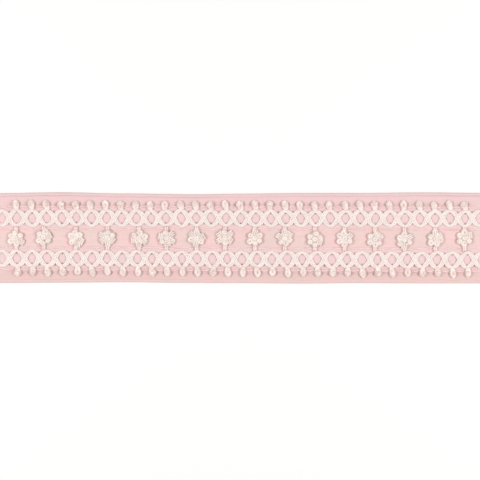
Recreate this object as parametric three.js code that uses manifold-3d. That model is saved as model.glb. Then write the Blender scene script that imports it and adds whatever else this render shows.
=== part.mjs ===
import * as THREE from 'three';
import Module from 'manifold-3d';
import { mergeVertices } from 'three/addons/utils/BufferGeometryUtils.js';

// A cut length of stitched tape trim, lying flat with its face up. All sizes are in millimetres.
// X runs along the tape, Y runs across it, Z points up, and the flat back of the tape is at Z = 0.

const wasm = await Module();
wasm.setup();

// The tape and its two turned edges
const LENGTH = 345;
const CLOTH = 1.4;
const HEM_WIDTH = 2.4;
const HEM_HEIGHT = 2.0;
const HEM_ROUND = 0.5;
const GROOVE_HEIGHT = 1.15;
const GROOVE_WIDTH = 0.9;
const TAPE_STEPS = 36;

// The air left between pieces that rest on each other
const GAP = 0.3;
const CROSSING_GAP = 0.45;
const FACE = CLOTH + GAP;

// The thick yarn of the ovals
const YARN_WIDTH = 2.5;
const YARN_HEIGHT = 1.3;
const PRESSED_WIDTH = 3.7;
const PRESSED_HEIGHT = 1.0;
const OVAL_REACH = 5.2;
const OVAL_REACH_UNEVEN = 0.2;
const PITCH_UNEVEN = 0.35;
const FLARE = -0.03;
const POINTED = 0.14;
const POINTED_MORE = 0.12;
const STEPS_PER_OVAL = 4;
const CUT_BACK = 1.8;

// The knots on short stalks, outside each oval
const KNOT_REACH = 6.7;
const KNOT_WIDTH = 4.6;
const KNOT_HEIGHT = 2.4;
const STALK_WIDTH = 3.4;
const STALK_HEIGHT = 1.0;

// The rosettes down the middle
const PETALS = 6;
const PETAL_REACH = 6.0;
const PETAL_VALLEY = 5.1;
const PETAL_FOOT = 0.88;
const PETAL_CREST = 3.9;
const PETAL_HEIGHT = 2.6;
const VALLEY_HEIGHT = 1.7;
const DIP_RADIUS = 2.2;
const DIP_HEIGHT = 1.5;
const BUTTON_RADIUS = 1.3;
const BUTTON_HEIGHT = 2.5;
const LINK_WIDTH = 3.0;
const STEPS_PER_PETAL = 4;

// The thin cords in the colour of the tape
const CORD_WIDTH = 1.0;
const CORD_HEIGHT = 0.7;
const SCALLOP_NEAR = 7.1;
const SCALLOP_RISE = 1.1;
const SWAG_NEAR = 7.25;
const SWAG_RISE = 0.75;

// How far each turned edge lies from the middle line of the tape, which is a little uneven
const EDGES = [
  { along: -172.5, far: 31.4, near: -31.7 },
  { along: -126, far: 32.0, near: -31.4 },
  { along: -84, far: 31.2, near: -31.1 },
  { along: -32, far: 30.6, near: -31.6 },
  { along: 0, far: 31.0, near: -31.7 },
  { along: 42, far: 31.5, near: -32.0 },
  { along: 84, far: 31.5, near: -31.7 },
  { along: 126, far: 31.9, near: -31.9 },
  { along: 172.5, far: 31.6, near: -31.9 },
];

// The two rows of ovals: their first crossing, their pitch, and how far their middle line lies from
// the tape's middle at the left and right ends. Outward is the side of the nearer edge. Lean is how
// far the knots stand off to the right for each millimetre that they stand out.
const BANDS = [
  { name: 'upper', first: -182.85, pitch: 10.485, left: 14.1, right: 13.6, outward: 1, lean: -0.17 },
  { name: 'lower', first: -182.9, pitch: 10.535, left: -14.3, right: -15.6, outward: -1, lean: 0.11 },
];

// The rosettes, one below every second oval, each placed and turned by hand
const ROSETTES = [
  { along: -157.1, across: -0.4, turn: 4 },
  { along: -137.8, across: 0.4, turn: -6 },
  { along: -115.3, across: -0.6, turn: 8 },
  { along: -93.0, across: 0.3, turn: -3 },
  { along: -70.9, across: -0.2, turn: -8 },
  { along: -51.6, across: -0.2, turn: 5 },
  { along: -30.5, across: -0.4, turn: -9 },
  { along: -10.6, across: 0.1, turn: 2 },
  { along: 10.4, across: -0.1, turn: -5 },
  { along: 31.4, across: -0.4, turn: 7 },
  { along: 52.6, across: -0.9, turn: -2 },
  { along: 73.3, across: -0.5, turn: 3 },
  { along: 94.7, across: -1.1, turn: -4 },
  { along: 115.4, across: -1.5, turn: 6 },
  { along: 137.1, across: -0.8, turn: 9 },
  { along: 157.6, across: -0.1, turn: -3 },
];

const PINK_TAPE = new THREE.MeshStandardMaterial({ color: '#f0c9c6', roughness: 0.9, metalness: 0 });
const PINK_CORD = new THREE.MeshStandardMaterial({ color: '#f6d3d0', roughness: 0.85, metalness: 0 });
const IVORY_YARN = new THREE.MeshStandardMaterial({ color: '#f6ede5', roughness: 0.85, metalness: 0 });
const IVORY_KNOTS = new THREE.MeshStandardMaterial({ color: '#efe3d8', roughness: 0.85, metalness: 0 });

const { lerp, degToRad } = THREE.MathUtils;
const point = (x, y, z) => new THREE.Vector3(x, y, z);

// A small fixed unevenness between -1 and 1 for stitch n of a row.
const uneven = (n, row) => 0.6 * Math.sin(2.39 * n + 1.7 * row) + 0.4 * Math.sin(5.13 * n + 0.9 * row);

// Joins equal rings of points into one closed solid, with a flat cap on its first and last ring.
// Seen from the last ring, the points of each ring run anticlockwise.
function loft(rings, capFaces = fan) {
  const around = rings[0].length;
  const index = [];
  for (let i = 0; i < rings.length - 1; i++) {
    for (let j = 0; j < around; j++) {
      const a = i * around + j;
      const b = i * around + ((j + 1) % around);
      index.push(a, b, a + around, b, b + around, a + around);
    }
  }
  const last = (rings.length - 1) * around;
  for (const [a, b, c] of capFaces(rings[0])) {
    index.push(a, c, b, last + a, last + b, last + c);
  }
  const geometry = new THREE.BufferGeometry();
  const numbers = rings.flat().flatMap((p) => [p.x, p.y, p.z]);
  geometry.setAttribute('position', new THREE.Float32BufferAttribute(numbers, 3));
  geometry.setIndex(index);
  return geometry;
}

function fan(ring) {
  return ring.slice(2).map((_, i) => [0, i + 1, i + 2]);
}

// A cap for a ring that is not convex and lies square to X.
function trimmedCap(ring) {
  return THREE.ShapeUtils.triangulateShape(ring.map((p) => new THREE.Vector2(p.y, p.z)), []);
}

function toSolid(geometry) {
  const bare = geometry.clone();
  bare.deleteAttribute('normal');
  bare.deleteAttribute('uv');
  const merged = mergeVertices(bare, 1e-4);
  return new wasm.Manifold(new wasm.Mesh({
    numProp: 3,
    vertProperties: new Float32Array(merged.attributes.position.array),
    triVerts: new Uint32Array(merged.index.array),
  }));
}

function toGeometry(solid) {
  const mesh = solid.getMesh();
  const geometry = new THREE.BufferGeometry();
  geometry.setAttribute('position', new THREE.Float32BufferAttribute(mesh.vertProperties, 3));
  geometry.setIndex(new THREE.Uint32BufferAttribute(mesh.triVerts, 1));
  return geometry;
}

const joined = (geometries) => toGeometry(geometries.map(toSolid).reduce((a, b) => a.add(b)));

// The yarn's section is five sided: a flat underside, two bulging sides and a ridge on top.
const YARN_SECTION = [[1, 0], [0, 1], [-1, 0], [-0.55, -1], [0.55, -1]];
const CORD_SECTION = [[1, -1], [0, 1], [-1, -1]];

// A ring of a yarn's section around a centre, square in plan to the way that the yarn runs.
function sectionRing(centre, heading, width, height, section = YARN_SECTION) {
  const side = point(-heading.y, heading.x, 0).normalize();
  return section.map(([across, up]) => centre.clone()
    .addScaledVector(side, across * width / 2)
    .add(point(0, 0, up * height / 2)));
}

// A yarn along a list of centres, each with its own width and height.
function yarn(stations, section) {
  const rings = stations.map((station, i) => {
    const before = stations[Math.max(i - 1, 0)].centre;
    const after = stations[Math.min(i + 1, stations.length - 1)].centre;
    return sectionRing(station.centre, after.clone().sub(before), station.width, station.height, section);
  });
  return loft(rings);
}

// The tape: one sheet whose long edges are turned over into soft raised hems.
function edgeAt(x, side) {
  const next = Math.max(1, EDGES.findIndex((row) => row.along >= x));
  const from = EDGES[next - 1];
  const to = EDGES[next];
  const share = THREE.MathUtils.smoothstep(x, from.along, to.along);
  return lerp(from[side], to[side], share);
}

function tapeRing(x) {
  const edge = (side, inward) => [
    [side, HEM_HEIGHT / 2],
    [side + inward * HEM_ROUND, HEM_HEIGHT],
    [side + inward * (HEM_WIDTH - HEM_ROUND), HEM_HEIGHT],
    [side + inward * HEM_WIDTH, GROOVE_HEIGHT],
    [side + inward * (HEM_WIDTH + GROOVE_WIDTH), CLOTH],
  ];
  const far = edgeAt(x, 'far');
  const near = edgeAt(x, 'near');
  const outline = [
    [near + HEM_ROUND, 0],
    [far - HEM_ROUND, 0],
    ...edge(far, -1),
    ...edge(near, 1).reverse(),
  ];
  return outline.map(([y, z]) => point(x, y, z));
}

function tape() {
  const rings = [];
  for (let i = 0; i <= TAPE_STEPS; i++) {
    rings.push(tapeRing(lerp(-LENGTH / 2, LENGTH / 2, i / TAPE_STEPS)));
  }
  return loft(rings, trimmedCap);
}

// Places along a row of ovals are counted in ovals: whole numbers are the crossings.
const rowNumber = (band) => BANDS.indexOf(band);
const crossing = (band, n) => band.first + n * band.pitch + PITCH_UNEVEN * uneven(n, rowNumber(band));
const middle = (band, x) => lerp(band.left, band.right, (x + LENGTH / 2) / LENGTH);

function alongRow(band, place) {
  const n = Math.floor(place);
  const part = place - n;
  const share = part + FLARE * Math.sin(2 * Math.PI * part);
  return lerp(crossing(band, n), crossing(band, n + 1), share);
}

// The place where a row reaches a given X, found by halving.
function placeAt(band, x) {
  let low = 0;
  let high = LENGTH / band.pitch + 4;
  for (let i = 0; i < 40; i++) {
    const half = (low + high) / 2;
    if (alongRow(band, half) < x) low = half;
    else high = half;
  }
  return high;
}

const ovalReach = (band, place) => OVAL_REACH + OVAL_REACH_UNEVEN * uneven(Math.floor(place), rowNumber(band) + 5);

// A wave with slightly pointed crests, more so on the side of the knots.
function pointedWave(band, wave) {
  const pointed = POINTED + POINTED_MORE * wave * band.outward;
  return lerp(wave, Math.asin(0.96 * wave) / Math.asin(0.96), pointed);
}

// The two yarns of a row swing from side to side, and each rises over the other at every second crossing.
function yarnStation(band, swing, place) {
  const x = alongRow(band, place);
  const swerve = pointedWave(band, swing * Math.sin(Math.PI * place));
  const over = Math.max(0, swing * Math.cos(Math.PI * place));
  const pressed = Math.cos(Math.PI * place) ** 2;
  const width = lerp(YARN_WIDTH, PRESSED_WIDTH, pressed);
  const height = lerp(YARN_HEIGHT, PRESSED_HEIGHT, pressed);
  const y = middle(band, x) + swerve * ovalReach(band, place);
  const z = FACE + height / 2 + (PRESSED_HEIGHT + CROSSING_GAP) * over;
  return { centre: point(x, y, z), width, height };
}

function rowPlaces(band, steps) {
  const start = placeAt(band, -LENGTH / 2 + CUT_BACK);
  const end = placeAt(band, LENGTH / 2 - CUT_BACK);
  const places = [start];
  for (let i = Math.ceil(start * steps + 0.3); i < end * steps - 0.3; i++) places.push(i / steps);
  places.push(end);
  return places;
}

// A knot stands outside the crest of an oval, on a stalk that springs from the yarn.
function knot(band, place) {
  const crest = yarnStation(band, 1, place).centre;
  const outward = point(band.lean, band.outward, 0);
  const reach = ovalReach(band, place) * band.outward;
  const root = point(crest.x, middle(band, crest.x) + reach, 0);
  const station = (out, width, height, z) => ({
    centre: root.clone().addScaledVector(outward, out).add(point(0, 0, z)),
    width,
    height,
  });
  const stalkZ = FACE + CORD_HEIGHT + GAP + STALK_HEIGHT / 2;
  const knotZ = FACE + KNOT_HEIGHT / 2;
  return yarn([
    station(0.3, STALK_WIDTH, STALK_HEIGHT, stalkZ),
    station(KNOT_REACH - KNOT_WIDTH * 0.74, STALK_WIDTH, STALK_HEIGHT, stalkZ),
    station(KNOT_REACH - KNOT_WIDTH * 0.45, KNOT_WIDTH, KNOT_HEIGHT, knotZ),
    station(KNOT_REACH, KNOT_WIDTH * 0.5, KNOT_HEIGHT * 0.6, knotZ),
  ]);
}

function ovalYarn(band, swing) {
  const places = rowPlaces(band, STEPS_PER_OVAL);
  const pieces = [yarn(places.map((place) => yarnStation(band, swing, place)))];
  for (let crest = Math.ceil(places[0]) + 0.5; crest < places.at(-1) - 0.5; crest++) {
    const swings = swing * Math.sin(Math.PI * crest);
    if (swings * band.outward > 0) pieces.push(knot(band, crest));
  }
  return joined(pieces);
}

// A thin cord in the tape's colour that bows outward between the stalks, outside the ovals.
function scallopCord(band) {
  return cordAlong(band, rowPlaces(band, 4), (place, x) => {
    const bow = Math.abs(Math.cos(Math.PI * place));
    return middle(band, x) + band.outward * (SCALLOP_NEAR + SCALLOP_RISE * bow);
  });
}

// A thin cord in the tape's colour that swags from rosette to rosette, inside the ovals.
function swagCord(band) {
  return cordAlong(band, rowPlaces(band, 2), (place, x) => {
    const swag = 0.5 - 0.5 * Math.cos(Math.PI * (place - 0.5));
    return middle(band, x) - band.outward * (SWAG_NEAR + SWAG_RISE * swag);
  });
}

function cordAlong(band, places, lineAt) {
  const stations = places.map((place) => {
    const x = alongRow(band, place);
    return { centre: point(x, lineAt(place, x), FACE + CORD_HEIGHT / 2), width: CORD_WIDTH, height: CORD_HEIGHT };
  });
  return yarn(stations, CORD_SECTION);
}

// A rosette: six fat petals round a button, as one lobed solid, with a link to the oval on each side.
function rosetteBody(row) {
  const steps = PETALS * STEPS_PER_PETAL;
  const ring = (reachPeak, reachValley, heightPeak, heightValley) => {
    const points = [];
    for (let i = 0; i < steps; i++) {
      const lobe = Math.sqrt(Math.abs(Math.cos(Math.PI * i / STEPS_PER_PETAL)));
      const angle = degToRad(90 + row.turn) + 2 * Math.PI * i / steps;
      const reach = lerp(reachValley, reachPeak, lobe);
      const x = row.along + reach * Math.cos(angle);
      const y = row.across + reach * Math.sin(angle);
      points.push(point(x, y, FACE + lerp(heightValley, heightPeak, lobe)));
    }
    return points;
  };
  return loft([
    ring(PETAL_REACH * PETAL_FOOT, PETAL_VALLEY * PETAL_FOOT, 0, 0),
    ring(PETAL_REACH, PETAL_VALLEY, PETAL_HEIGHT * 0.5, VALLEY_HEIGHT * 0.7),
    ring(PETAL_CREST, PETAL_CREST, PETAL_HEIGHT, VALLEY_HEIGHT),
    ring(DIP_RADIUS, DIP_RADIUS, DIP_HEIGHT, DIP_HEIGHT),
    ring(BUTTON_RADIUS, BUTTON_RADIUS, BUTTON_HEIGHT, BUTTON_HEIGHT),
  ]);
}

function link(row, band) {
  const inner = middle(band, row.along) - band.outward * (OVAL_REACH + OVAL_REACH_UNEVEN + YARN_WIDTH / 2 + GAP);
  const start = row.across + band.outward * PETAL_CREST;
  const z = FACE + CORD_HEIGHT + GAP + STALK_HEIGHT / 2;
  const end = (y) => ({ centre: point(row.along, y, z), width: LINK_WIDTH, height: STALK_HEIGHT });
  return yarn([end(start), end(inner)]);
}

const rosette = (row) => joined([rosetteBody(row), ...BANDS.map((band) => link(row, band))]);

// The whole trim
const trim = new THREE.Group();

function addPiece(name, geometry, material) {
  const mesh = new THREE.Mesh(geometry, material);
  mesh.name = name;
  trim.add(mesh);
}

addPiece('tape', tape(), PINK_TAPE);
for (const band of BANDS) {
  addPiece(`${band.name}_yarn_a`, ovalYarn(band, 1), IVORY_YARN);
  addPiece(`${band.name}_yarn_b`, ovalYarn(band, -1), IVORY_YARN);
  addPiece(`${band.name}_scallop_cord`, scallopCord(band), PINK_CORD);
  addPiece(`${band.name}_swag_cord`, swagCord(band), PINK_CORD);
}
ROSETTES.forEach((row, i) => {
  addPiece(`rosette_${String(i + 1).padStart(2, '0')}`, rosette(row), IVORY_KNOTS);
});

export default trim;
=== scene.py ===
"""The looks of a cut length of stitched tape trim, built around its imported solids."""

import math
import random

import bpy
import numpy as np
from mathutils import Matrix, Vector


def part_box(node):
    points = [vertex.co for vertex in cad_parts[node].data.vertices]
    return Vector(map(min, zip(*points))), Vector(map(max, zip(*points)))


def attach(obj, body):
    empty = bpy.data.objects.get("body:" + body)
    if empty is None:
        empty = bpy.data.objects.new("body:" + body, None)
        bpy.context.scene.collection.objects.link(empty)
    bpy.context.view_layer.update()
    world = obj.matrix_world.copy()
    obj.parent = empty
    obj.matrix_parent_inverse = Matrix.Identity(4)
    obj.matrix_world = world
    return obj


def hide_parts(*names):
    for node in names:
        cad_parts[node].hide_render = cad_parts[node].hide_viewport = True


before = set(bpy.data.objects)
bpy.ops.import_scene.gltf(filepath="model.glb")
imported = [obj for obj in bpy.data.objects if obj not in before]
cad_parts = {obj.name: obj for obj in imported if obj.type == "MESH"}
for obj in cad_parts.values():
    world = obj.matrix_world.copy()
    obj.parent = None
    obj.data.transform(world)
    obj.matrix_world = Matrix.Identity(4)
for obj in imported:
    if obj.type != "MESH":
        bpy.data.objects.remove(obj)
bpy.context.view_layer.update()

# All sizes below are in millimetres until a mesh is made, and MM turns them into metres.
MM = 0.001
UP = np.array([0.0, 0.0, 1.0])
chance = random.Random(11)

# A little more than a full turn, in radians
ANY_TURN = 6.3

# The tape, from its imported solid
tape_low, tape_high = (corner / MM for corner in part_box("tape"))
LENGTH = tape_high.x - tape_low.x
CLOTH = 1.4
CLOTH_STEP = 0.6
FIELD_COLUMNS = 96
RIPPLE = 0.06

# The turned hems: the groove inside the fold, and the flap on the back
GROOVE_START = 2.1
GROOVE_END = 3.0
GROOVE_FILL = 0.35
PRESSED_FILL = 0.7
# How much the painted shade of a hem fades where its groove is pressed shut
PRESSED_FADE = 0.6
HEM_WAVE = 0.12
HEM_FOOT = 1.0
FLAP_WIDTH = 9.0
FLAP_EDGE = 0.3
FLAP_STEP = 0.35

# The ovals' yarn, three strands side by side, pressed flatter where two yarns cross
STRANDS = (-1, 0, 1)
STRAND_WIDTH = 1.08
STRAND_HEIGHT = 1.1
PRESSED_WIDTH = 1.35
PRESSED_HEIGHT = 0.85
STRAND_SINK = 0.05
SPREAD = 0.53
CROSSING_SPREAD = 1.15
SPREAD_CURVE = 0.8
INNER_SLIM = 0.14
BUNCH_RISE = 0.28
STRAND_PITCH = 1.35
WEAVE_RISE = 0.3
WEAVE_INNER = 1.3 * STRAND_PITCH
WEAVE_OUTER = 2.3 * STRAND_PITCH

# The ovals' outline
OVAL_REACH = 5.2
OVAL_REACH_UNEVEN = 0.2
PITCH_UNEVEN = 0.35
FLARE = -0.03
HAND_UNEVEN = 0.17
POINTED = 0.14
POINTED_MORE = 0.12
POINT_SHARPNESS = 0.96

# Every soft yarn has two plies.
PLIES = 2
PLY_GROOVE = 0.09
PLY_TURN = 3.6
PLY_FULLNESS = 0.6
PLIED_SIDES = 12
YARN_STEP = 0.45
PLACE_STEP = 0.01
SPARE_OVALS = 4

# How far inside the cut ends of the tape each kind of stitch stops
PIT_CUT_BACK = 3
YARN_CUT_BACK = 1.4
KNOT_CUT_BACK = 1.8
CORD_CUT_BACK = 0.8

# The looped knots outside the ovals. Some carry a wound knot, and some two cross bars.
KNOT_CENTRE = 4.8
KNOT_TIP = KNOT_CENTRE + 1.0
LOOP_ROOT = 0.4
LOOP_HALF_WIDTH = 1.2
LOOP_YARN = 2.45
LOOP_HEIGHT = 1.7
LOOP_LIFT = CLOTH + 0.75
LOOP_RISE = 0.25
WOUND_SHARE = 0.45
WOUND_PLACE = 1.3
WOUND_LIFT = 0.2
BARRED_SHARE = 0.2
KNOT_BAR_LENGTH = 4.2
KNOT_BAR_RISE = 1.9
KNOT_BAR_PLACES = (0.5, 1.6)

# One side of a loop, in shares of its half width and of its length back from its tip
LOOP_SIDE = [
    {"beside": 0.46, "along": -1.0},
    {"beside": 0.48, "along": -0.75},
    {"beside": 0.66, "along": -0.55},
    {"beside": 1.0, "along": -0.38},
    {"beside": 0.96, "along": -0.14},
    {"beside": 0.55, "along": 0.0},
]
LOOP_TIP = 0.04
LOOP_STEPS = 34

# A bar dives into the cloth at both ends.
BAR_FOOT = 0.2
BAR_FULLNESS = 0.6
BAR_STEPS = 15

# The wound knots
KNOT_RADIUS = 1.25
KNOT_NARROWS = 0.5
KNOT_YARN = 1.85
KNOT_TURNS = 2.3
KNOT_RISE = 0.85
KNOT_TUCK_START = 0.86
KNOT_TUCK_NARROWS = 0.8
KNOT_TUCK_SINK = 0.1
KNOT_STEPS = 34

# The rosettes: petals round a button, with small knots that fill the gaps
PETALS = 6
PETAL_CENTRE = 3.85
PETAL_TIP = 4.95
PETAL_LENGTH = 4.0
PETAL_HALF_WIDTH = 1.12
PETAL_YARN = 2.25
PETAL_HEIGHT = 2.0
WOUND_PETALS = 0.3
BARRED_PETALS = 0.3
BAR_YARN = 1.5
BAR_RISE = 1.2
BAR_PITCH = 1.35
BAR_LENGTH = 4.4
OUTER_BAR_SHARE = 0.96
MIDDLE_BAR_SHARE = 1.08
FILLING_SIZE = 0.66
FILLING_REACH = 3.5
KNOT_SINK = 0.1

# What differs by chance from stitch to stitch, as the least and the most: turns in degrees, reach
# and lift in millimetres, and widths and sizes as shares of the usual one
VARIES = {
    "reach of a knot": (-0.5, 0.35),
    "turn of a knot": (-8, 8),
    "width of a loop": (0.85, 1.03),
    "size of a wound knot": (0.9, 1.05),
    "turn of a bar": (-10, 10),
    "size of a button": (1.1, 1.25),
    "turn of a spoke": (-9, 9),
    "size of a petal": (0.93, 1.08),
    "size of a wound petal": (1.04, 1.14),
    "turn of a barred petal": (-20, 20),
    "turn of a looped petal": (-14, 14),
    "lift of a looped petal": (-0.1, 0.3),
}

# Where the rosettes draw the cloth in
RING_RADIUS = 5.5
RING_WIDTH = 0.6
RING_LEAST = 0.05
RING_MORE = 0.35

# The links from a rosette to the ovals beside it, which end just short of their middle lines
LINK_YARN = 1.5
LINK_SPREAD = 0.62
LINK_HEIGHT = 0.6
LINK_RISE = 0.3
LINK_SHORT = 0.6
LINK_STEPS = 7

# The thin cords in the tape's own colour
CORD_WIDTH = 1.2
CORD_HEIGHT = 0.36
CORD_TURN = 2.6
CORD_GROOVE = 0.12
CORD_SINK = 0.12
CORD_SIDES = 10
CORD_STEP = 0.4
SCALLOP_NEAR = 7.0
SCALLOP_RISE = 1.1
SWAG_NEAR = 7.25
SWAG_RISE = 0.75

# How far each turned edge lies from the middle line of the tape
EDGES = [
    {"along": -172.5, "far": 31.4, "near": -31.7},
    {"along": -126, "far": 32.0, "near": -31.4},
    {"along": -84, "far": 31.2, "near": -31.1},
    {"along": -32, "far": 30.6, "near": -31.6},
    {"along": 0, "far": 31.0, "near": -31.7},
    {"along": 42, "far": 31.5, "near": -32.0},
    {"along": 84, "far": 31.5, "near": -31.7},
    {"along": 126, "far": 31.9, "near": -31.9},
    {"along": 172.5, "far": 31.6, "near": -31.9},
]

# A hem from its fold to the flat cloth: how far in from the edge, how high, and how deep the
# painted shade
HEM = [
    {"inward": 0.35, "height": 0.12, "tone": 1.0},
    {"inward": 0.1, "height": 0.45, "tone": 1.0},
    {"inward": 0.0, "height": 0.95, "tone": 1.0},
    {"inward": 0.12, "height": 1.4, "tone": 0.8},
    {"inward": 0.4, "height": 1.75, "tone": 0.45},
    {"inward": 0.8, "height": 1.95, "tone": 0.1},
    {"inward": 1.2, "height": 2.0, "tone": 0.0},
    {"inward": 1.6, "height": 1.92, "tone": 0.0},
    {"inward": 1.95, "height": 1.72, "tone": 0.1},
    {"inward": 2.2, "height": 1.42, "tone": 0.5},
    {"inward": 2.4, "height": 1.15, "tone": 0.75},
    {"inward": 2.65, "height": 1.2, "tone": 0.4},
    {"inward": 2.95, "height": 1.33, "tone": 0.1},
    {"inward": 3.4, "height": CLOTH, "tone": 0.0},
]

# The two hems: which way the cloth lies, how full the open stretches of the groove are, how the
# waves are shifted, and how strong the painted shade is
FAR_HEM = {"side": "far", "inward": -1, "fullness": 0.0, "shift": 2, "tone": 0.9}
NEAR_HEM = {"side": "near", "inward": 1, "fullness": 0.3, "shift": 0, "tone": 0.5}

# The two rows of ovals: first crossing, pitch, middle line at the two ends, the side of the edge,
# and how far the knots stand off to the right for each millimetre that they stand out
ROWS = [
    {"name": "upper", "number": 0, "first": -182.85, "pitch": 10.485, "left": 14.1, "right": 13.6,
     "outward": 1, "lean": -0.17},
    {"name": "lower", "number": 1, "first": -182.9, "pitch": 10.535, "left": -14.3, "right": -15.6,
     "outward": -1, "lean": 0.11},
]

# The rosettes, one below every second oval, each placed and turned one by one
ROSETTES = [
    {"along": -157.1, "across": -0.4, "turn": 4},
    {"along": -137.8, "across": 0.4, "turn": -6},
    {"along": -115.3, "across": -0.6, "turn": 8},
    {"along": -93.0, "across": 0.3, "turn": -3},
    {"along": -70.9, "across": -0.2, "turn": -8},
    {"along": -51.6, "across": -0.2, "turn": 5},
    {"along": -30.5, "across": -0.4, "turn": -9},
    {"along": -10.6, "across": 0.1, "turn": 2},
    {"along": 10.4, "across": -0.1, "turn": -5},
    {"along": 31.4, "across": -0.4, "turn": 7},
    {"along": 52.6, "across": -0.9, "turn": -2},
    {"along": 73.3, "across": -0.5, "turn": 3},
    {"along": 94.7, "across": -1.1, "turn": -4},
    {"along": 115.4, "across": -1.5, "turn": 6},
    {"along": 137.1, "across": -0.8, "turn": 9},
    {"along": 157.6, "across": -0.1, "turn": -3},
]

# The pits that the stitches draw in the cloth at each crossing: how far outward of the row's middle
# line, how wide, and how deep at least and at most. The others lie in pairs, inside the two crests
# of an oval and on each side of a knot.
CROSSING_PITS = [
    {"out": 4.4, "radius": 0.95, "least": 0.5, "most": 1.0},
    {"out": -4.4, "radius": 0.75, "least": 0.3, "most": 0.8},
    {"out": 8.8, "radius": 2.0, "least": 0.15, "most": 0.5},
]
CREST_PIT = {"beside": 3.7, "radius": 0.8, "least": 0.4, "most": 1.0}
KNOT_PIT = {"out": KNOT_CENTRE - 0.3, "beside": 2.7, "radius": 0.9, "least": 0.2, "most": 0.9}
# How dark the painted shade in a pit is, for each millimetre of its depth
PIT_TONE = 0.9

# The view, the floor and the light
VIEW_WIDTH = 336.8
VIEW_CENTRE_Y = -1.5
LENS = 100
SENSOR = 36
CAMERA_REACH = 10
FLOOR_SIZE = 3.0
FLOOR_DROP = -0.05
LIGHT_DISTANCE = 1.0
LIGHT_ANGLE = math.radians(45)
LIGHT_SIZE = 0.3
LIGHT_POWER = 3.9
SKY_STRENGTH = 0.575

# The cotton's thread is drawn a little coarser than a fine one, so that it shows in near views.
THREAD = 0.55
SLUBS_PER_MM = 0.35
SLUB_STRETCH = 0.12
CLOUDS_PER_MM = 0.07
FIBRES_PER_MM = 2.2
PATCHES_PER_MM = 0.3
WINDING_SLANT = math.radians(32)

# A wave texture of scale 1 repeats this often.
WAVE_REPEAT = 2 * math.pi / 20

# At this scale it repeats about every two units, as a yarn's ridge and groove do every two plies.
RIDGE_SCALE = 0.5 / math.pi

# The numbered sockets of a Mix node: two floats or two colours go in, and one comes out.
FLOAT_A = 2
FLOAT_B = 3
COLOUR_A = 6
COLOUR_B = 7
MIXED_FLOAT = 0
MIXED_COLOUR = 2

# The tape's colours: its dye, and the painted shade in its folds, its pits and between its threads
DYE_AND_SHADE = {
    "pink": "#f5cecb",
    "peach": "#ead2ca",
    "slub": "#d3b2b3",
    "far margin": "#e8c8cd",
    "near margin": "#e4c3c0",
    "under the rows": "#ebd1d5",
    # Painted shade in the hems' folds and in the pits
    "painted shade in folds and pits": "#d6b0b0",
    # Painted shade between the threads
    "between threads": "#cfa9aa",
}

# Where its tone changes, from the middle line outward
GROUND_START = 6
GROUND_FULL = 8
GROUND_FADES = 19
GROUND_ENDS = 21
MARGIN_START = 17
MARGIN_FULL = 25
NEAR_HEM_START = 28
NEAR_HEM_FULL = 29.5


# Camera, floor and light

def make_camera():
    """A long lens looks straight down, as over a copy stand. It sees the stated width at the height
    of the stitching."""
    data = bpy.data.cameras.new("camera")
    data.lens = LENS
    data.sensor_width = SENSOR
    data.clip_end = CAMERA_REACH
    camera = bpy.data.objects.new("camera", data)
    height = VIEW_WIDTH * MM * LENS / SENSOR + 2 * CLOTH * MM
    camera.location = (0, VIEW_CENTRE_Y * MM, height)
    bpy.context.scene.collection.objects.link(camera)
    bpy.context.scene.camera = camera


def make_lights():
    """Two soft lamps, one at each end of the tape, and a white room."""
    for side in (-1, 1):
        data = bpy.data.lights.new("lamp", "AREA")
        data.energy = LIGHT_POWER
        data.size = LIGHT_SIZE
        lamp = bpy.data.objects.new("lamp", data)
        lamp.location = (
            side * LIGHT_DISTANCE * math.sin(LIGHT_ANGLE),
            0,
            LIGHT_DISTANCE * math.cos(LIGHT_ANGLE),
        )
        lamp.rotation_euler = (0, side * LIGHT_ANGLE, 0)
        bpy.context.scene.collection.objects.link(lamp)
    world = bpy.data.worlds.new("white room")
    world.use_nodes = True
    sky = world.node_tree.nodes["Background"]
    sky.inputs["Color"].default_value = (1, 1, 1, 1)
    sky.inputs["Strength"].default_value = SKY_STRENGTH
    bpy.context.scene.world = world
    bpy.context.scene.view_settings.view_transform = "Standard"


def make_floor():
    """A sheet of white paper just below the tape."""
    bpy.ops.object.select_all(action="DESELECT")
    bpy.ops.mesh.primitive_plane_add(size=FLOOR_SIZE, location=(0, 0, FLOOR_DROP * MM))
    floor = bpy.context.object
    floor.name = "floor"
    material, _ = new_material("white_paper", {"Base Color": linear("#f5f5f3"), "Roughness": 0.9})
    floor.data.materials.append(material)


# Materials

def linear(hex_colour):
    """An sRGB hex colour as linear red, green, blue and alpha."""
    parts = [int(hex_colour[i:i + 2], 16) / 255 for i in (1, 3, 5)]
    linear_parts = [c / 12.92 if c <= 0.04045 else ((c + 0.055) / 1.055) ** 2.4 for c in parts]
    return (*linear_parts, 1.0)


def add_node(material, kind, inputs=(), **settings):
    """Adds a node. Each input is a value, or the output socket that feeds it."""
    made = material.node_tree.nodes.new(kind)
    for name, value in settings.items():
        setattr(made, name, value)
    for name, value in dict(inputs).items():
        if isinstance(value, bpy.types.NodeSocket):
            material.node_tree.links.new(value, made.inputs[name])
        else:
            made.inputs[name].default_value = value
    return made


def new_material(name, inputs):
    """A material and its Principled shader, with some of the shader's inputs set."""
    material = bpy.data.materials.new(name)
    material.use_nodes = True
    shader = material.node_tree.nodes["Principled BSDF"]
    for key, value in inputs.items():
        shader.inputs[key].default_value = value
    return material, shader


def feed(material, socket, shader, name):
    """Links a socket to an input of the material's shader."""
    material.node_tree.links.new(socket, shader.inputs[name])


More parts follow.
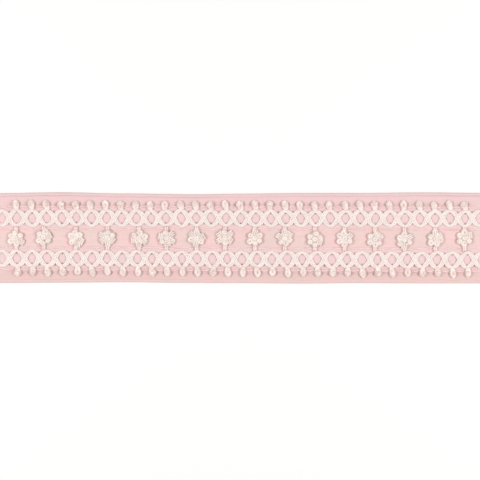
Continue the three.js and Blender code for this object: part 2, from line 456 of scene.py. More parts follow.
def cotton_weave(material, place):
    """The threads, along and across: high on a thread and low between two of them."""
    threads = []
    for direction in ("Y", "X"):
        threads.append(add_node(material, "ShaderNodeTexWave", {
            "Vector": place.outputs["UV"], "Scale": WAVE_REPEAT / (THREAD * MM),
            "Distortion": 1.2, "Detail": 2, "Detail Scale": 0.7,
        }, wave_type="BANDS", bands_direction=direction))
    warp, weft = threads
    weave = add_node(material, "ShaderNodeMix", {
        "Factor": 0.5, FLOAT_A: warp.outputs["Fac"], FLOAT_B: weft.outputs["Fac"],
    })
    return weave.outputs[MIXED_FLOAT]


def cotton_slubs(material, place):
    """The slubs, thick places that run along the warp."""
    long_way = add_node(material, "ShaderNodeMapping", {
        "Vector": place.outputs["UV"], "Scale": (SLUB_STRETCH, 1.0, 1.0),
    })
    slubs = add_node(material, "ShaderNodeTexNoise", {
        "Vector": long_way.outputs["Vector"], "Scale": SLUBS_PER_MM / MM,
        "Detail": 3, "Roughness": 0.6,
    })
    return slubs.outputs["Fac"]


def cotton_dye(material, place, slubs):
    """The dye, cloudy from washing and slightly darker on the slubs."""
    clouds = add_node(material, "ShaderNodeTexNoise", {
        "Vector": place.outputs["Object"], "Scale": CLOUDS_PER_MM / MM,
        "Detail": 3, "Roughness": 0.5,
    })
    cloudy = add_node(material, "ShaderNodeMapRange", {
        "Value": clouds.outputs["Fac"],
        "From Min": 0.35, "From Max": 0.65, "To Min": 0.0, "To Max": 1.0,
    })
    tone = add_node(material, "ShaderNodeMix", {
        "Factor": cloudy.outputs["Result"],
        COLOUR_A: linear(DYE_AND_SHADE["pink"]), COLOUR_B: linear(DYE_AND_SHADE["peach"]),
    }, data_type="RGBA")
    streak = add_node(material, "ShaderNodeMapRange", {
        "Value": slubs,
        "From Min": 0.35, "From Max": 0.75, "To Min": 0.0, "To Max": 0.2,
    })
    streaked = add_node(material, "ShaderNodeMix", {
        "Factor": streak.outputs["Result"],
        COLOUR_A: tone.outputs[MIXED_COLOUR], COLOUR_B: linear(DYE_AND_SHADE["slub"]),
    }, data_type="RGBA")
    return streaked.outputs[MIXED_COLOUR]


def cotton_margins(material, spot, dye):
    """The dye with a mauve cast at the far margin and a rosy one at the near margin, which fades
    again on the near hem."""
    far_side = add_node(material, "ShaderNodeMapRange", {
        "Value": spot.outputs["Y"],
        "From Min": MARGIN_START * MM, "From Max": MARGIN_FULL * MM, "To Min": 0.0, "To Max": 0.5,
    })
    far_margin = add_node(material, "ShaderNodeMix", {
        "Factor": far_side.outputs["Result"],
        COLOUR_A: dye, COLOUR_B: linear(DYE_AND_SHADE["far margin"]),
    }, data_type="RGBA")
    near_side = add_node(material, "ShaderNodeMapRange", {
        "Value": spot.outputs["Y"], "From Min": -MARGIN_START * MM,
        "From Max": -MARGIN_FULL * MM, "To Min": 0.0, "To Max": 0.75,
    })
    near_hem = add_node(material, "ShaderNodeMapRange", {
        "Value": spot.outputs["Y"], "From Min": -NEAR_HEM_START * MM,
        "From Max": -NEAR_HEM_FULL * MM, "To Min": 1.0, "To Max": 0.25,
    })
    near_tone = add_node(material, "ShaderNodeMath", {
        0: near_side.outputs["Result"], 1: near_hem.outputs["Result"],
    }, operation="MULTIPLY")
    margins = add_node(material, "ShaderNodeMix", {
        "Factor": near_tone.outputs["Value"],
        COLOUR_A: far_margin.outputs[MIXED_COLOUR], COLOUR_B: linear(DYE_AND_SHADE["near margin"]),
    }, data_type="RGBA")
    return margins.outputs[MIXED_COLOUR]


def cotton_ground(material, spot, dye):
    """The dye with a slightly cooler cast on the ground under the two rows of ovals."""
    from_middle = add_node(material, "ShaderNodeMath", {0: spot.outputs["Y"]}, operation="ABSOLUTE")
    under_row = add_node(material, "ShaderNodeMapRange", {
        "Value": from_middle.outputs["Value"],
        "From Min": GROUND_START * MM, "From Max": GROUND_FULL * MM, "To Min": 0.0, "To Max": 0.5,
    })
    beyond_row = add_node(material, "ShaderNodeMapRange", {
        "Value": from_middle.outputs["Value"],
        "From Min": GROUND_FADES * MM, "From Max": GROUND_ENDS * MM, "To Min": 1.0, "To Max": 0.0,
    })
    in_row = add_node(material, "ShaderNodeMath", {
        0: under_row.outputs["Result"], 1: beyond_row.outputs["Result"],
    }, operation="MULTIPLY")
    ground = add_node(material, "ShaderNodeMix", {
        "Factor": in_row.outputs["Value"], COLOUR_A: dye, COLOUR_B: linear(DYE_AND_SHADE["under the rows"]),
    }, data_type="RGBA")
    return ground.outputs[MIXED_COLOUR]


def woven_cotton():
    """Plain woven cotton tape, dyed pale pink and washed soft: matt, with its threads just showing
    and slightly darker slubs, and painted shade in its folds, in its pits and between its threads."""
    material, shader = new_material("woven_cotton_tape", {
        "Roughness": 0.92, "IOR": 1.5, "Sheen Weight": 0.25, "Sheen Roughness": 0.5,
    })
    place = add_node(material, "ShaderNodeTexCoord")
    spot = add_node(material, "ShaderNodeSeparateXYZ", {"Vector": place.outputs["Object"]})
    weave = cotton_weave(material, place)
    slubs = cotton_slubs(material, place)
    dye = cotton_dye(material, place, slubs)
    dye = cotton_margins(material, spot, dye)
    dye = cotton_ground(material, spot, dye)

    # Painted shade in the hems' folds, on the flap and in the pits, as deep as the mesh attribute
    # gives it
    depth = add_node(material, "ShaderNodeAttribute", attribute_name="painted_shade_depth")
    deep = add_node(material, "ShaderNodeMix", {
        "Factor": depth.outputs["Fac"],
        COLOUR_A: dye, COLOUR_B: linear(DYE_AND_SHADE["painted shade in folds and pits"]),
    }, data_type="RGBA")
    # Painted shade between the threads, where the weave is low
    between = add_node(material, "ShaderNodeMapRange", {
        "Value": weave,
        "From Min": 0.15, "From Max": 0.45, "To Min": 0.3, "To Max": 0.0,
    })
    threaded = add_node(material, "ShaderNodeMix", {
        "Factor": between.outputs["Result"],
        COLOUR_A: deep.outputs[MIXED_COLOUR], COLOUR_B: linear(DYE_AND_SHADE["between threads"]),
    }, data_type="RGBA")
    feed(material, threaded.outputs[MIXED_COLOUR], shader, "Base Color")

    threads = add_node(material, "ShaderNodeBump", {
        "Strength": 0.5, "Distance": 0.2 * MM, "Height": weave,
    })
    bumps = add_node(material, "ShaderNodeBump", {
        "Strength": 0.5, "Distance": 0.25 * MM,
        "Height": slubs, "Normal": threads.outputs["Normal"],
    })
    feed(material, bumps.outputs["Normal"], shader, "Normal")
    return material


def spun_yarn(name, light, shade, ply, sheen, patchy):
    """Soft spun yarn: matt, with a pale bloom of fibre at its edges, fine ridges that wind round it
    and a tone that is patchy where the fibres lie thicker. The ply is how wide one ply is, in
    millimetres, and a higher patchy value parts the two tones more sharply."""
    material, shader = new_material(name, {
        "Roughness": 0.9, "IOR": 1.5, "Sheen Weight": sheen, "Sheen Roughness": 0.4,
    })
    place = add_node(material, "ShaderNodeTexCoord")
    patches = add_node(material, "ShaderNodeTexNoise", {
        "Vector": place.outputs["Object"], "Scale": PATCHES_PER_MM / MM,
        "Detail": 2, "Roughness": 0.5,
    })
    stretched = add_node(material, "ShaderNodeMapRange", {
        "Value": patches.outputs["Fac"],
        "From Min": 0.5 - 0.5 / patchy, "From Max": 0.5 + 0.5 / patchy,
        "To Min": 0.0, "To Max": 1.0,
    })
    patched = add_node(material, "ShaderNodeMix", {
        "Factor": stretched.outputs["Result"],
        COLOUR_A: linear(light), COLOUR_B: linear(shade),
    }, data_type="RGBA")
    feed(material, patched.outputs[MIXED_COLOUR], shader, "Base Color")

    slant = add_node(material, "ShaderNodeMapping", {
        "Vector": place.outputs["UV"], "Rotation": (0, 0, WINDING_SLANT),
    })
    ridges = add_node(material, "ShaderNodeTexWave", {
        "Vector": slant.outputs["Vector"], "Scale": RIDGE_SCALE / (ply * MM),
        "Distortion": 2.0, "Detail": 2,
    }, wave_type="BANDS", bands_direction="X")
    fibres = add_node(material, "ShaderNodeTexNoise", {
        "Vector": place.outputs["Object"], "Scale": FIBRES_PER_MM / MM,
        "Detail": 3, "Roughness": 0.6,
    })
    wound = add_node(material, "ShaderNodeBump", {
        "Strength": 0.4, "Distance": 0.2 * MM, "Height": ridges.outputs["Fac"],
    })
    fuzzy = add_node(material, "ShaderNodeBump", {
        "Strength": 0.4, "Distance": 0.15 * MM,
        "Height": fibres.outputs["Fac"], "Normal": wound.outputs["Normal"],
    })
    feed(material, fuzzy.outputs["Normal"], shader, "Normal")
    return material


# Skins: closed surfaces made from rings of points

def run_along(path):
    """How far along a path each of its points lies."""
    return np.concatenate([[0], np.cumsum(np.linalg.norm(np.diff(path, axis=0), axis=1))])


def skin(rings, u, v):
    """Points, faces and corner UVs of a closed skin over equal rings. u has one value for each ring
    and v one for each point of a ring and one more, for the return to its first point."""
    count, around = rings.shape[:2]
    points = rings.reshape(-1, 3)
    i, j = (g.ravel() for g in np.meshgrid(np.arange(count - 1), np.arange(around), indexing="ij"))
    after = (j + 1) % around
    this_ring, next_ring = i * around, (i + 1) * around
    faces = np.stack([this_ring + j, this_ring + after, next_ring + after, next_ring + j], axis=1)
    corners_u = np.stack([u[i], u[i], u[i + 1], u[i + 1]], axis=1)
    corners_v = np.stack([v[j], v[j + 1], v[j + 1], v[j]], axis=1)
    uvs = np.stack([corners_u, corners_v], axis=2).reshape(-1, 2)
    last = (count - 1) * around
    caps = [list(range(around))[::-1], list(range(last, last + around))]
    cap_uvs = np.concatenate([
        np.stack([np.full(around, u[0]), v[:-1][::-1]], axis=1),
        np.stack([np.full(around, u[-1]), v[:-1]], axis=1),
    ])
    return points, faces.tolist() + caps, np.concatenate([uvs, cap_uvs])


def yarn_skin(path, width, height, sides=8, lobes=0, groove=0.0, turn=0.0, wide_along=None):
    """The skin of a yarn that follows a path. Its lobes are its plies, parted by grooves, and they
    wind round once in each turn. Its width lies level, or in the direction wide_along."""
    path = np.asarray(path, float)
    ahead = np.gradient(path, axis=0)
    ahead /= np.linalg.norm(ahead, axis=1)[:, None]
    if wide_along is None:
        across = np.cross(UP, ahead)
    else:
        across = np.tile(np.asarray(wide_along, float), (len(path), 1))
    across /= np.linalg.norm(across, axis=1)[:, None]
    above = np.cross(ahead, across)
    run = run_along(path)
    ring = np.arange(sides)
    ply = np.abs(np.cos(lobes * math.pi * ring / sides)) ** PLY_FULLNESS
    reach = 1 - groove * (1 - ply)
    wound = 2 * math.pi * run / turn if turn else np.zeros(len(path))
    angle = wound[:, None] + 2 * math.pi * ring[None, :] / sides
    # The last two rings at each end are smaller, which makes the ends blunt.
    size = np.ones(len(path))
    size[[0, -1]] = 0.5
    size[[1, -2]] = 0.9
    half_width = (width * size / 2)[:, None] * reach[None, :]
    half_height = (height * size / 2)[:, None] * reach[None, :]
    rings = (
        path[:, None, :]
        + across[:, None, :] * (half_width * np.cos(angle))[:, :, None]
        + above[:, None, :] * (half_height * np.sin(angle))[:, :, None]
    )
    girth = math.pi * float(np.mean(width))
    return skin(rings, run, girth * np.arange(sides + 1) / sides)


def plied(path, width, height, wide_along=None):
    """A soft yarn of two plies that wind slowly round each other."""
    return yarn_skin(
        path, width, height, sides=PLIED_SIDES, lobes=PLIES, groove=PLY_GROOVE, turn=PLY_TURN,
        wide_along=wide_along)


def turned(some_skin, angle, size=1.0, to=(0, 0, 0)):
    """A copy of a skin, turned about Z, scaled and moved."""
    points, faces, uvs = some_skin
    c, s = math.cos(angle), math.sin(angle)
    spin = np.array([[c, s, 0], [-s, c, 0], [0, 0, 1]])
    return points @ spin * size + np.asarray(to, float), faces, uvs


def build(name, skins, material):
    """One mesh piece from a list of skins."""
    points, faces, uvs, start = [], [], [], 0
    for some_points, some_faces, some_uvs in skins:
        points.append(some_points)
        faces += [[start + k for k in face] for face in some_faces]
        uvs.append(some_uvs)
        start += len(some_points)
    mesh = bpy.data.meshes.new(name)
    mesh.from_pydata((np.concatenate(points) * MM).tolist(), [], faces)
    layer = mesh.uv_layers.new(name="length_and_girth")
    layer.data.foreach_set("uv", (np.concatenate(uvs) * MM).ravel().astype(np.float32))
    mesh.polygons.foreach_set("use_smooth", [True] * len(mesh.polygons))
    mesh.materials.append(material)
    piece = bpy.data.objects.new(name, mesh)
    bpy.context.scene.collection.objects.link(piece)
    return piece


def finish_piece(piece, slot, *nodes):
    """The piece lies on the trim's one body, and is seen in place of the solids that it covers."""
    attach(piece, "root")
    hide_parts(*nodes)


# Places along a row of ovals are counted in ovals, and whole numbers are the crossings.

def uneven(n, shift):
    """A small fixed unevenness between -1 and 1 for stitch n. Each shift gives another one."""
    return 0.6 * math.sin(2.39 * n + 1.7 * shift) + 0.4 * math.sin(5.13 * n + 0.9 * shift)


def crossing(row, n):
    """How far along the tape crossing n of a row lies."""
    return row["first"] + n * row["pitch"] + PITCH_UNEVEN * uneven(n, row["number"])


def middle(row, x):
    """How far across the tape the row's middle line lies at x."""
    return row["left"] + (row["right"] - row["left"]) * (x + LENGTH / 2) / LENGTH


def along_row(row, place):
    """How far along the tape a place of a row lies."""
    n = math.floor(place)
    part = place - n
    share = part + FLARE * math.sin(2 * math.pi * part)
    return crossing(row, n) + (crossing(row, n + 1) - crossing(row, n)) * share


def oval_reach(row, place):
    """How far the crests of the oval at a place lie from the row's middle line."""
    return OVAL_REACH + OVAL_REACH_UNEVEN * uneven(math.floor(place), row["number"] + 5)


def row_ends(row, cut_back):
    """The first and the last place of a row that lie inside the cut ends of the tape."""
    most = LENGTH / row["pitch"] + SPARE_OVALS
    places = np.arange(0, most, PLACE_STEP)
    inside = [p for p in places if abs(along_row(row, p)) <= LENGTH / 2 - cut_back]
    return inside[0], inside[-1]


def smooth_share(x, low, high):
    """0 up to low and 1 from high, with a smooth rise between them."""
    share = np.clip((x - low) / (high - low), 0, 1)
    return share * share * (3 - 2 * share)


def evenly(path, step):
    """The same path with its points a fixed step apart. Further columns are carried along."""
    path = np.asarray(path, float)
    run = run_along(path)
    wanted = np.linspace(0, run[-1], max(3, int(run[-1] / step)))
    return np.stack([np.interp(wanted, run, path[:, k]) for k in range(path.shape[1])], axis=1)


def curved(path, count):
    """A smooth curve through a few given points."""
    path = np.asarray(path, float)
    padded = np.concatenate([2 * path[:1] - path[1:2], path, 2 * path[-1:] - path[-2:-1]])
    result = []
    for t in np.linspace(0, len(path) - 1 - 1e-6, count):
        k, f = int(t), t - int(t)
        a, b, c, d = padded[k:k + 4]
        square = (2 * a - 5 * b + 4 * c - d) * f ** 2
        cube = (3 * b - a - 3 * c + d) * f ** 3
        result.append(0.5 * (2 * b + (c - a) * f + square + cube))
    return np.array(result)


# The tape

def edge_at(x, side):
    """How far across the tape the turned edge of a side lies at x."""
    place = max(k for k in range(len(EDGES) - 1) if k == 0 or EDGES[k]["along"] <= x)
    a, b = EDGES[place], EDGES[place + 1]
    return a[side] + (b[side] - a[side]) * smooth_share(x, a["along"], b["along"])


def hem_points(x, hem):
    """One hem at x, from its fold to the flat cloth: place across, height and depth of painted
    shade.
    Along the tape the groove is open in some stretches and pressed shut in others, with less
    painted shade."""
    pressed = 0.5 + 0.5 * math.sin(x * 0.045 + 1.0) * math.cos(x * 0.021)
    filled = PRESSED_FILL * pressed + hem["fullness"] * (1 - pressed)
    edge = edge_at(x, hem["side"])
    points = []
    for step in HEM:
        distance, height = step["inward"], step["height"]
        if GROOVE_START < distance < GROOVE_END:
            height += max(0, (CLOTH + GROOVE_FILL - height) * filled)
        wave = HEM_WAVE * math.sin(x * 0.31 + distance + hem["shift"])
        y = edge + hem["inward"] * (distance + wave * min(1, distance))
        tone = step["tone"] * (1 - PRESSED_FADE * pressed) * hem["tone"]
        points.append((y, height, tone))
    return points


def tape_ring(x):
    """The whole section of the tape at x: the hems, the face between them and the back."""
    far, near = edge_at(x, "far"), edge_at(x, "near")
    far_half, near_half = hem_points(x, FAR_HEM), hem_points(x, NEAR_HEM)
    columns = np.linspace(far_half[-1][0], near_half[-1][0], FIELD_COLUMNS)[1:-1]
    field = [(y, CLOTH, 0.0) for y in columns]
    # The flap's tones are painted shade at the foot of the fold and at the flap's own edge.
    flap = [
        (HEM_FOOT, 0.0, 0.3),
        (FLAP_WIDTH, 0.0, 0.0),
        (FLAP_WIDTH + FLAP_EDGE, FLAP_STEP, 0.3),
    ]
    near_flap = [(near + inward, z, tone) for inward, z, tone in flap]
    far_flap = [(far - inward, z, tone) for inward, z, tone in flap[::-1]]
    back = near_flap + [(0.0, FLAP_STEP, 0.0)] + far_flap
    return (far_half + field + near_half[::-1] + back)[::-1]


def pit(kind, x, y):
    """Place, radius and depth of one small pit. Its depth is drawn by chance."""
    return x, y, kind["radius"], chance.uniform(kind["least"], kind["most"])


def pits():
    """The pits where the stitches pull the cloth down: at the crossings, inside the crests and
    beside the knots."""
    found = []
    for row in ROWS:
        out = row["outward"]
        first, last = row_ends(row, PIT_CUT_BACK)
        for n in range(math.ceil(first), math.floor(last) + 1):
            x = crossing(row, n)
            for kind in CROSSING_PITS:
                found.append(pit(kind, x, middle(row, x) + out * kind["out"]))
        for n in range(math.ceil(first), math.floor(last)):
            x = along_row(row, n + 0.5)
            knot_x = x + row["lean"] * KNOT_CENTRE
            knot_y = middle(row, x) + out * (OVAL_REACH + KNOT_PIT["out"])
            for side in (-1, 1):
                found.append(pit(CREST_PIT, x, middle(row, x) + side * CREST_PIT["beside"]))
                found.append(pit(KNOT_PIT, knot_x + side * KNOT_PIT["beside"], knot_y))
    return found


def sunk(x, y):
    """How far the cloth dips below its own height under and around the stitching."""
    depth = np.zeros_like(x)
    for pit_x, pit_y, radius, deep in pits():
        near = (abs(x - pit_x) < 3 * radius) & (abs(y - pit_y) < 3 * radius)
        away = ((x[near] - pit_x) ** 2 + (y[near] - pit_y) ** 2) / radius ** 2
        depth[near] = np.maximum(depth[near], deep * np.exp(-away))
    # The ring round a rosette is deepest where it faces the next rosettes, and it is uneven.
    for rosette in ROSETTES:
        away = np.hypot(x - rosette["along"], y - rosette["across"])
        angle = np.arctan2(y - rosette["across"], x - rosette["along"])
        unevenness = 0.6 + 0.4 * np.sin(5 * angle + rosette["turn"])
        drawn = RING_LEAST + RING_MORE * np.abs(np.cos(angle)) ** 1.5 * unevenness
        depth = np.maximum(depth, drawn * np.exp(-((away - RING_RADIUS) / RING_WIDTH) ** 2))
    return depth


def crisp_ends(piece, count, around):
    """The cut ends of a skin get sharp edges, so that they shade as flat faces."""
    last = (count - 1) * around
    sharp = []
    for edge in piece.data.edges:
        sharp.append(max(edge.vertices) < around or min(edge.vertices) >= last)
    piece.data.edges.foreach_set("use_edge_sharp", sharp)


def make_tape(material):
    """One cloth sheet with both long edges turned under: a soft rounded fold, a groove inside it
    and the flap of the hem on the back."""
    xs = np.linspace(-LENGTH / 2, LENGTH / 2, int(LENGTH / CLOTH_STEP) + 1)
    sections = [tape_ring(x) for x in xs]
    rings = np.array([[(x, y, z) for y, z, _ in section] for x, section in zip(xs, sections)])
    # The depth of painted shade at each point: in the hems' folds and grooves, and on the flap
    tone = np.array([[t for _, _, t in section] for section in sections])
    x, y, z = rings[..., 0], rings[..., 1], rings[..., 2]
    # The hems and the back keep their own heights. Only the face between the hems dips and ripples.
    face = (z == CLOTH)
    dip = np.zeros_like(x)
    dip[face] = sunk(x[face], y[face])
    ripple = RIPPLE * np.sin(0.37 * x + 0.9 * y) * np.sin(0.23 * x - 0.31 * y)
    rings[..., 2] = np.where(face, z + ripple - dip, z)
    # Painted shade in the pits: the deeper the cloth dips, the darker its colour
    tone = np.maximum(tone, np.minimum(1, dip * PIT_TONE))
    centre = rings[len(rings) // 2]
    girth = run_along(np.concatenate([centre, centre[:1]]))
    piece = build("tape_cloth", [skin(rings, xs, girth)], material)
    crisp_ends(piece, *rings.shape[:2])
    # The painted shade of the hems and pits, kept on the mesh for its material
    depth = piece.data.attributes.new("painted_shade_depth", "FLOAT", "POINT")
    depth.data.foreach_set("value", tone.ravel().astype(np.float32))
    finish_piece(piece, "tape_cloth", "tape")


# The ovals

def oval_swing(row, swing, place):
    """How far a yarn lies from the row's middle line: a wave with slightly pointed crests,
    more so on the side of the knots."""
    wave = swing * math.sin(math.pi * place)
    sharp = POINTED + POINTED_MORE * wave * row["outward"]
    peaked = math.asin(POINT_SHARPNESS * wave) / math.asin(POINT_SHARPNESS)
    return oval_reach(row, place) * ((1 - sharp) * wave + sharp * peaked)


def oval_line(row, swing):
    """The middle line of a yarn, as a hand lays it, and the place of each of its points."""
    first, last = row_ends(row, YARN_CUT_BACK)
    points = []
    for place in np.arange(first, last, PLACE_STEP):
        x = along_row(row, place)
        points.append((x, middle(row, x) + oval_swing(row, swing, place), place))
    line = evenly(points, YARN_STEP)
    x, number = line[:, 0], row["number"]
    # Slow waves that never fall together stand for an uneven hand.
    hand = np.column_stack([
        np.sin(0.83 * x + 2 * swing) + np.sin(0.37 * x + 5 * swing + number),
        np.sin(0.61 * x + 4 * swing) + np.sin(0.29 * x + 3 * swing + number),
    ])
    return line[:, :2] + HAND_UNEVEN * hand, line[:, 2]


def smooth_heading(line):
    """The direction of a flat line at each of its points, averaged over five of them."""
    ahead = np.gradient(line, axis=0)
    padded = np.pad(ahead, ((2, 2), (0, 0)), mode="edge")
    ahead = np.column_stack([np.convolve(padded[:, k], np.ones(5) / 5, "valid") for k in (0, 1)])
    return ahead / np.linalg.norm(ahead, axis=1)[:, None]


def oval_strands(row, swing):
    """The three strands of one of a row's two yarns. They bunch up at the crests and spread at the
    crossings, where they pass over and under the other yarn's strands."""
    centre, places = oval_line(row, swing)
    ahead = smooth_heading(centre)
    beside = np.column_stack([-ahead[:, 1], ahead[:, 0]])
    crossings_x = [crossing(row, round(place)) for place in places]
    nearest = np.array([(x, middle(row, x)) for x in crossings_x])
    from_crossing = np.sum((centre - nearest) * ahead, axis=1)
    woven = 1 - smooth_share(np.abs(from_crossing), WEAVE_INNER, WEAVE_OUTER)

    near_crossing = np.abs(np.cos(np.pi * places))
    pressed = near_crossing ** 2
    inner = np.maximum(0, -row["outward"] * swing * np.sin(np.pi * places)) ** 2
    slim = 1 - INNER_SLIM * inner
    spread = (SPREAD + (CROSSING_SPREAD - SPREAD) * near_crossing ** SPREAD_CURVE) * slim
    width = (STRAND_WIDTH + (PRESSED_WIDTH - STRAND_WIDTH) * pressed) * slim
    height = STRAND_HEIGHT + (PRESSED_HEIGHT - STRAND_HEIGHT) * pressed

    skins = []
    for strand in STRANDS:
        over = swing * np.cos(np.pi * (from_crossing / STRAND_PITCH + strand))
        bunched = BUNCH_RISE * (1 - abs(strand)) * (1 - near_crossing)
        z = CLOTH + height / 2 - STRAND_SINK + bunched + woven * (WEAVE_RISE * (1 + over))
        path = np.column_stack([centre + beside * (strand * spread)[:, None], z])
        skins.append(plied(path, width, height))
    return skins


# Knots, loops and bars

def knot_skin():
    """A wound knot: a yarn coiled a little over twice round and tucked into its own middle."""
    path = []
    for t in np.linspace(0, 1, KNOT_STEPS):
        tuck = smooth_share(t, KNOT_TUCK_START, 1.0)
        radius = KNOT_RADIUS * (1 - KNOT_NARROWS * t) * (1 - KNOT_TUCK_NARROWS * tuck)
        angle = 2 * math.pi * KNOT_TURNS * t
        height = KNOT_YARN / 2 + KNOT_RISE * t - KNOT_TUCK_SINK * tuck
        path.append((radius * math.cos(angle), radius * math.sin(angle), height))
    return plied(path, KNOT_YARN, KNOT_YARN)


def loop_skin(length, half_width, yarn, height):
    """A closed loop of yarn that springs from (0, -length) and rounds its tip at Y = 0."""
    left = [(-point["beside"], point["along"]) for point in LOOP_SIDE]
    right = [(point["beside"], point["along"]) for point in LOOP_SIDE[::-1]]
    shape = left + [(0.0, LOOP_TIP)] + right
    path = [(x * half_width, y * length, LOOP_LIFT + LOOP_RISE * (1 + y)) for x, y in shape]
    return plied(curved(path, LOOP_STEPS), yarn, height)


def bar_skin(length, rise):
    """One strand that lies along X and dives into the cloth at both ends."""
    path = []
    for t in np.linspace(0, 1, BAR_STEPS):
        angle = math.pi * (1 - t)
        height = BAR_FOOT + rise * math.sin(angle) ** BAR_FULLNESS
        path.append((length / 2 * math.cos(angle), 0, height))
    return plied(path, BAR_YARN, BAR_YARN, wide_along=(0, 1, 0))


def varied(what):
    """A chance value between the least and the most that VARIES gives."""
    return chance.uniform(*VARIES[what])


def wound_knot(knot, place, size_of):
    """A copy of the wound knot, turned by chance, of the size that VARIES gives its kind."""
    return turned(knot, chance.uniform(0, ANY_TURN), varied(size_of), place)


def row_knots(row, swing):
    """A looped knot outside each oval that this yarn rounds, some with a wound knot or two cross
    bars on it."""
    knot = knot_skin()
    bar = bar_skin(KNOT_BAR_LENGTH, KNOT_BAR_RISE)
    first, last = row_ends(row, KNOT_CUT_BACK)
    facing = (0 if row["outward"] > 0 else math.pi) - math.atan(row["lean"] * row["outward"])
    ahead = np.array([row["lean"], row["outward"], 0])
    skins = []
    for n in range(math.ceil(first), math.floor(last)):
        crest = n + 0.5
        if swing * math.sin(math.pi * crest) * row["outward"] < 0:
            continue
        x = along_row(row, crest)
        crest_y = middle(row, x) + row["outward"] * oval_reach(row, crest)
        length = KNOT_TIP + varied("reach of a knot")
        tip = np.array([x, crest_y, 0]) + ahead * length
        turn = facing + math.radians(varied("turn of a knot"))
        half_width = LOOP_HALF_WIDTH * varied("width of a loop")
        loop = loop_skin(length + LOOP_ROOT, half_width, LOOP_YARN, LOOP_HEIGHT)
        skins.append(turned(loop, turn, to=tip))
        kind = chance.random()
        if kind < WOUND_SHARE:
            place = tip - ahead * WOUND_PLACE + (0, 0, CLOTH + WOUND_LIFT)
            skins.append(wound_knot(knot, place, "size of a wound knot"))
        elif kind < WOUND_SHARE + BARRED_SHARE:
            for step in KNOT_BAR_PLACES:
                place = tip - ahead * step + (0, 0, CLOTH)
                bar_turn = turn + math.radians(varied("turn of a bar"))
                skins.append(turned(bar, bar_turn, to=place))
    return skins


# The rosettes

def pointing(angle):
    """The level direction at an angle from X."""
    return np.array([math.cos(angle), math.sin(angle), 0])


def barred_petal(place, angle):
    """Three bars side by side, the middle one longer, that lie along the petal or across it."""
    heading = angle + math.radians(chance.choice([0, 90]) + varied("turn of a barred petal"))
    beside = pointing(heading + math.pi / 2)
    skins = []
    for step in (-1, 0, 1):
        share = MIDDLE_BAR_SHARE if step == 0 else OUTER_BAR_SHARE
        bar = bar_skin(BAR_LENGTH * share, BAR_RISE)
        skins.append(turned(bar, heading, to=place + beside * step * BAR_PITCH))
    return skins


def looped_petal(centre, angle, size):
    """A fat looped stitch that springs from the middle of the rosette."""
    loop = loop_skin(PETAL_LENGTH, PETAL_HALF_WIDTH * size, PETAL_YARN * size, PETAL_HEIGHT)
    heading = angle - math.pi / 2 + math.radians(varied("turn of a looped petal"))
    lift = (0, 0, varied("lift of a looped petal"))
    return turned(loop, heading, to=centre + pointing(angle) * PETAL_TIP * size + lift)


def rosette_skins(rosette):
    """Six fat petals round a wound button, each a wound knot, three bars or a looped stitch, and
    small knots in the gaps between the petals."""
    knot = knot_skin()
    centre = np.array([rosette["along"], rosette["across"], 0])
    low = (0, 0, CLOTH - KNOT_SINK)
    skins = [wound_knot(knot, centre + low, "size of a button")]
    for k in range(PETALS):
        spoke = 90 + rosette["turn"] + 360 / PETALS * k
        angle = math.radians(spoke + varied("turn of a spoke"))
        size = varied("size of a petal")
        place = centre + pointing(angle) * PETAL_CENTRE * size + (0, 0, CLOTH)
        kind = chance.random()
        if kind < WOUND_PETALS:
            skins.append(wound_knot(knot, place, "size of a wound petal"))
        elif kind < WOUND_PETALS + BARRED_PETALS:
            skins += barred_petal(place, angle)
        else:
            skins.append(looped_petal(centre, angle, size))
    for k in range(PETALS):
        angle = math.radians(rosette["turn"] + 360 / PETALS * (k + 2))
        place = centre + pointing(angle) * FILLING_REACH + low
        skins.append(turned(knot, chance.uniform(0, ANY_TURN), FILLING_SIZE, place))
    return skins


def link_skins(rosette):
    """Two thin strands from the rosette to the oval on each side."""
    skins = []
    for row in ROWS:
        out = row["outward"]
        start = rosette["across"] + out * PETAL_TIP
        end = middle(row, rosette["along"]) - out * (OVAL_REACH + LINK_SHORT)
        for offset in (-LINK_SPREAD, LINK_SPREAD):
            path = []
            for t in np.linspace(0, 1, LINK_STEPS):
                z = CLOTH + LINK_HEIGHT + LINK_RISE * math.sin(math.pi * t)
                path.append((rosette["along"] + offset, start + (end - start) * t, z))
            skins.append(yarn_skin(path, LINK_YARN, LINK_YARN))
    return skins


# The thin cords

def cord_skin(row, across):
    """A thin cord along a row, which sinks into the cloth a little here and there. The function
    across gives how far across the tape it lies."""
    first, last = row_ends(row, CORD_CUT_BACK)
    path = []
    for place in np.arange(first, last, 2 * PLACE_STEP):
        x = along_row(row, place)
        sink = CORD_SINK * (0.5 + 0.5 * math.sin(3.1 * place + 2 * math.sin(1.3 * place)))
        path.append((x, across(place, x), CLOTH + CORD_HEIGHT / 2 - sink))
    return yarn_skin(
        evenly(path, CORD_STEP), CORD_WIDTH, CORD_HEIGHT,
        sides=CORD_SIDES, lobes=PLIES, groove=CORD_GROOVE, turn=CORD_TURN)


def scallop_skin(row):
    """The thin cord that bows outward from stalk to stalk."""
    def across(place, x):
        bow = SCALLOP_RISE * abs(math.cos(math.pi * place))
        return middle(row, x) + row["outward"] * (SCALLOP_NEAR + bow)
    return cord_skin(row, across)


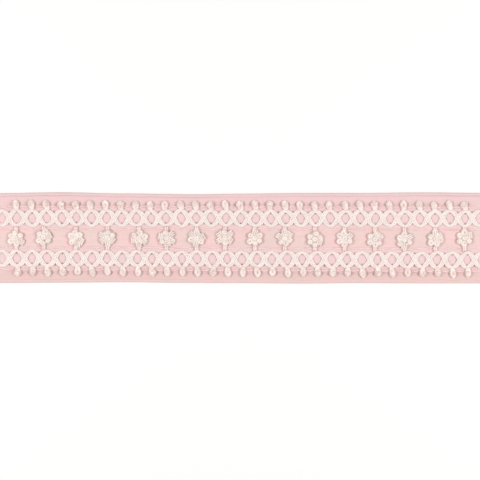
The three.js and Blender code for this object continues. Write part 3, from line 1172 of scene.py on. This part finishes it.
def swag_skin(row):
    """The thin cord that swags from rosette to rosette."""
    def across(place, x):
        swag = SWAG_RISE * (0.5 - 0.5 * math.cos(math.pi * (place - 0.5)))
        return middle(row, x) - row["outward"] * (SWAG_NEAR + swag)
    return cord_skin(row, across)


make_camera()
make_lights()
make_floor()

# Washed cotton tape: matt pink, with its weave just showing
cotton = woven_cotton()

# Bulky wool, lightly twisted: chalky ivory strands with soft edges
ivory = spun_yarn("spun_wool_ivory", "#fdf1eb", "#f5e5df", ply=0.8, sheen=0.35, patchy=1.5)

# The same wool wound tight: warm ivory, greyer where the windings part
wound_ivory = spun_yarn(
    "wound_wool_ivory", "#fdf1ea", "#efddd5", ply=0.6, sheen=0.3, patchy=3.0)

# The same wool in loose loops: the pink of the tape shows through
blush = spun_yarn(
    "looped_wool_blush", "#fff0ea", "#edd5cc", ply=0.6, sheen=0.3, patchy=3.0)

# Twisted cotton cord in the tape's own dye: a pale line that almost sinks into the cloth
pink_cord = spun_yarn(
    "twisted_cotton_pink", "#f8dcd9", "#efcbc8", ply=0.5, sheen=0.2, patchy=3.0)

# Thin linking strands: wool so thin that it takes up the pink below it
link_wool = spun_yarn(
    "linking_wool_pale_pink", "#f8e3de", "#f0d2cd", ply=0.6, sheen=0.3, patchy=3.0)

make_tape(cotton)
for row in ROWS:
    name = row["name"]
    for letter, swing in (("a", 1), ("b", -1)):
        node = f"{name}_yarn_{letter}"
        strands = build(f"{name}_oval_yarn_{letter}", oval_strands(row, swing), ivory)
        finish_piece(strands, "oval_yarn", node)
        knots = build(f"{name}_knots_{letter}", row_knots(row, swing), blush)
        finish_piece(knots, "rosette_yarn", node)
    for kind, make in (("scallop", scallop_skin), ("swag", swag_skin)):
        twist = build(f"{name}_{kind}_twist", [make(row)], pink_cord)
        finish_piece(twist, "tonal_cord", f"{name}_{kind}_cord")
for number, rosette in enumerate(ROSETTES, 1):
    node = f"rosette_{number:02d}"
    finish_piece(build(f"{node}_yarn", rosette_skins(rosette), wound_ivory), "rosette_yarn", node)
    finish_piece(build(f"{node}_links", link_skins(rosette), link_wool), "rosette_yarn", node)
